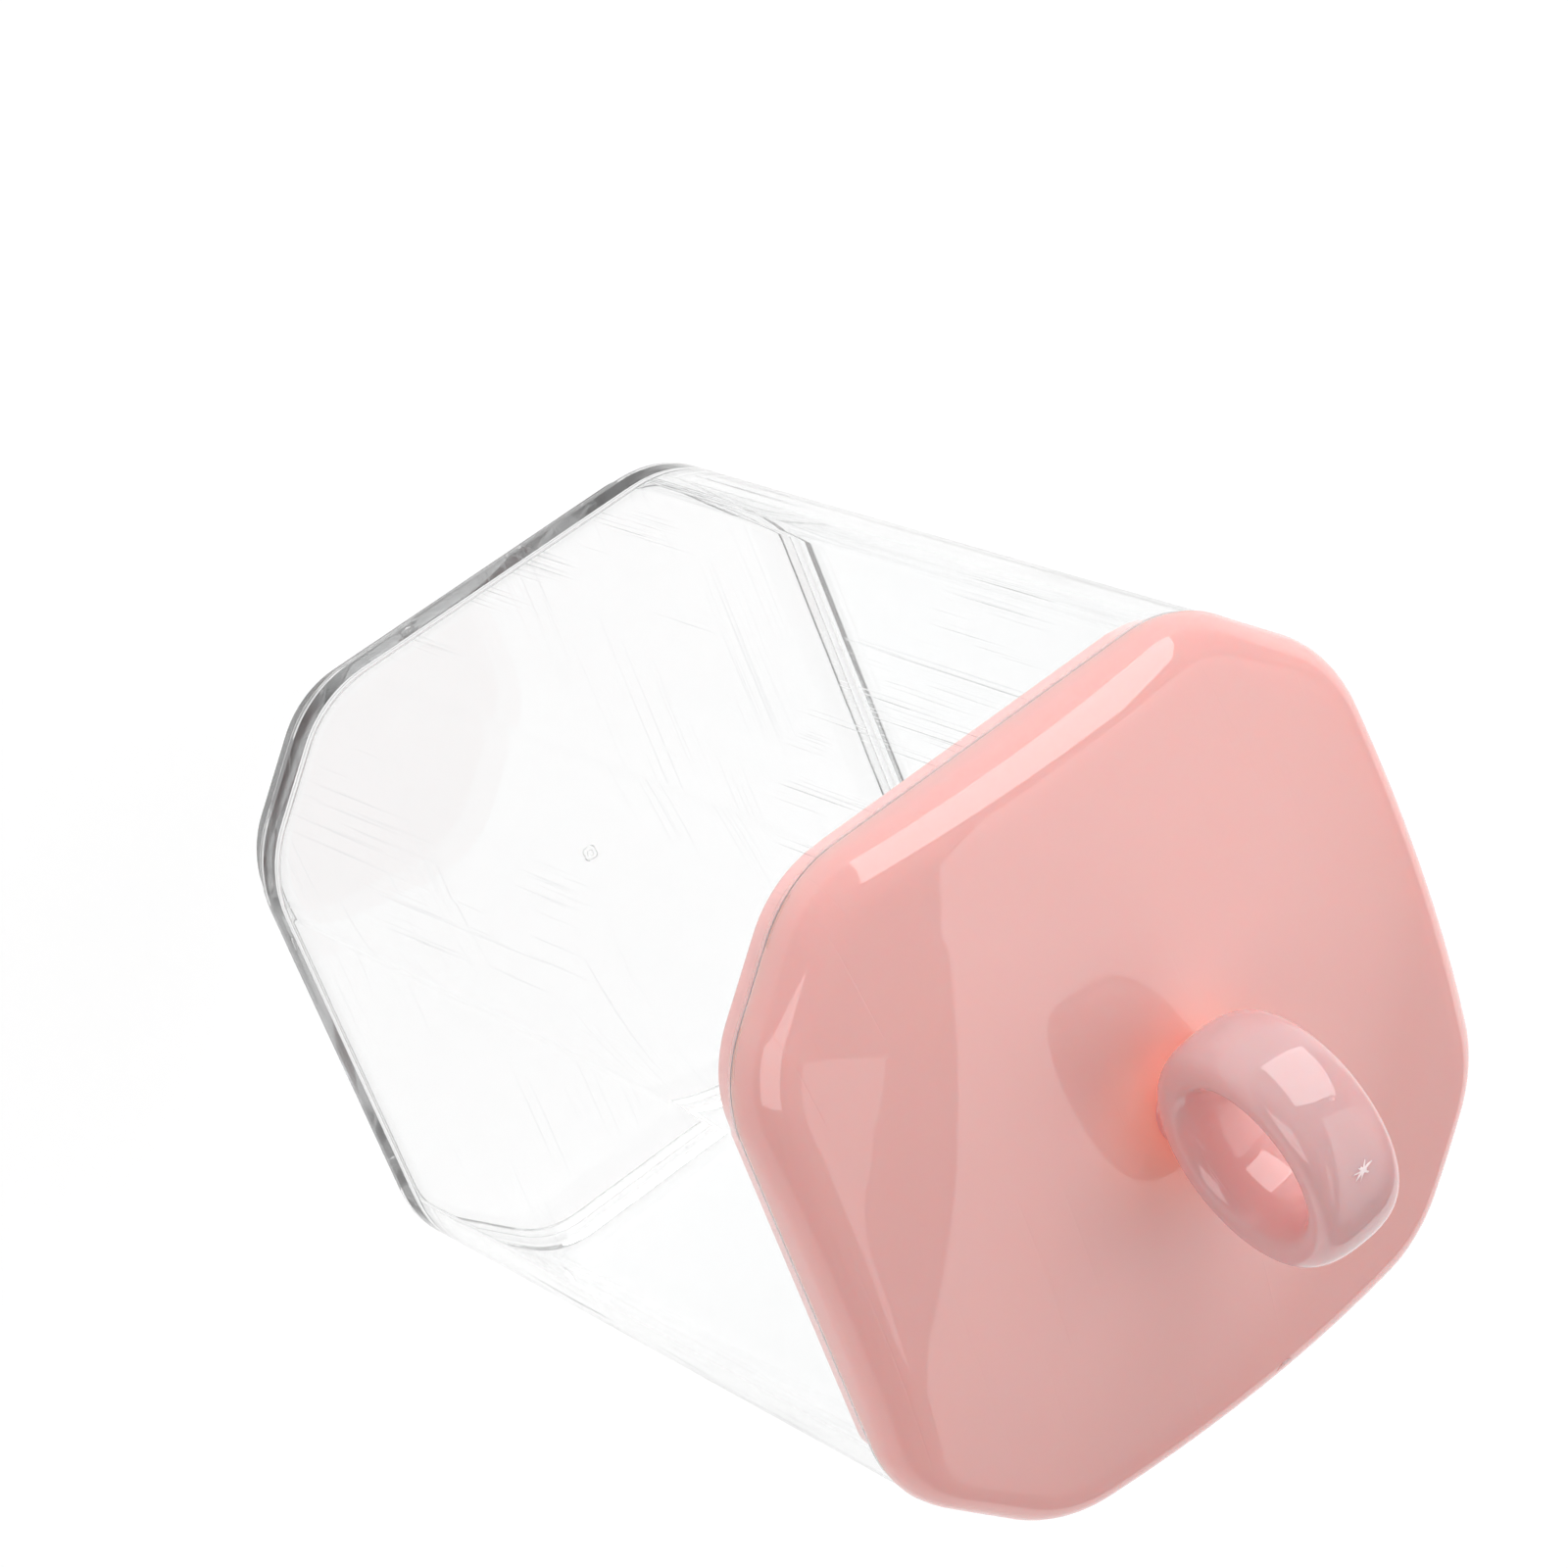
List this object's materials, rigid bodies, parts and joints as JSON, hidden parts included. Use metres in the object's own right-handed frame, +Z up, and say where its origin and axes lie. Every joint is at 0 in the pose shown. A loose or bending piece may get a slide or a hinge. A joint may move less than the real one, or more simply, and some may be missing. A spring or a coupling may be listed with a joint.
{
  "type": "lidded canister",
  "caption": "Clear eight-sided canister for small nail-desk supplies, with a domed pink lid that seats with a plug and lifts off by a finger ring.",
  "frame": {"origin": "centre of the jar's underside, on the table", "axes": "+Z up through the mouth and the lid; X and Y square to the long sides; the finger ring's hole runs along Y"},
  "size_m": [0.0724, 0.0724, 0.1201],
  "materials": {
    "clear_plastic": "clear, polished, slightly scratched",
    "lid_pink": "opal pink, polished",
    "plug_pink": "opal pink, polished",
    "ring_pink": "milky, translucent pink, polished"
  },
  "bodies": {
    "jar": {"jar_body": "clear_plastic"},
    "lid": {"lid_cap": "lid_pink", "lid_plug": "plug_pink", "ring_handle": "ring_pink"}
  },
  "joints": [
    {"name": "lid_lift", "type": "slide", "parent": "jar", "child": "lid", "axis": [0, 0, 1], "range_m": [0, 0.06]}
  ]
}
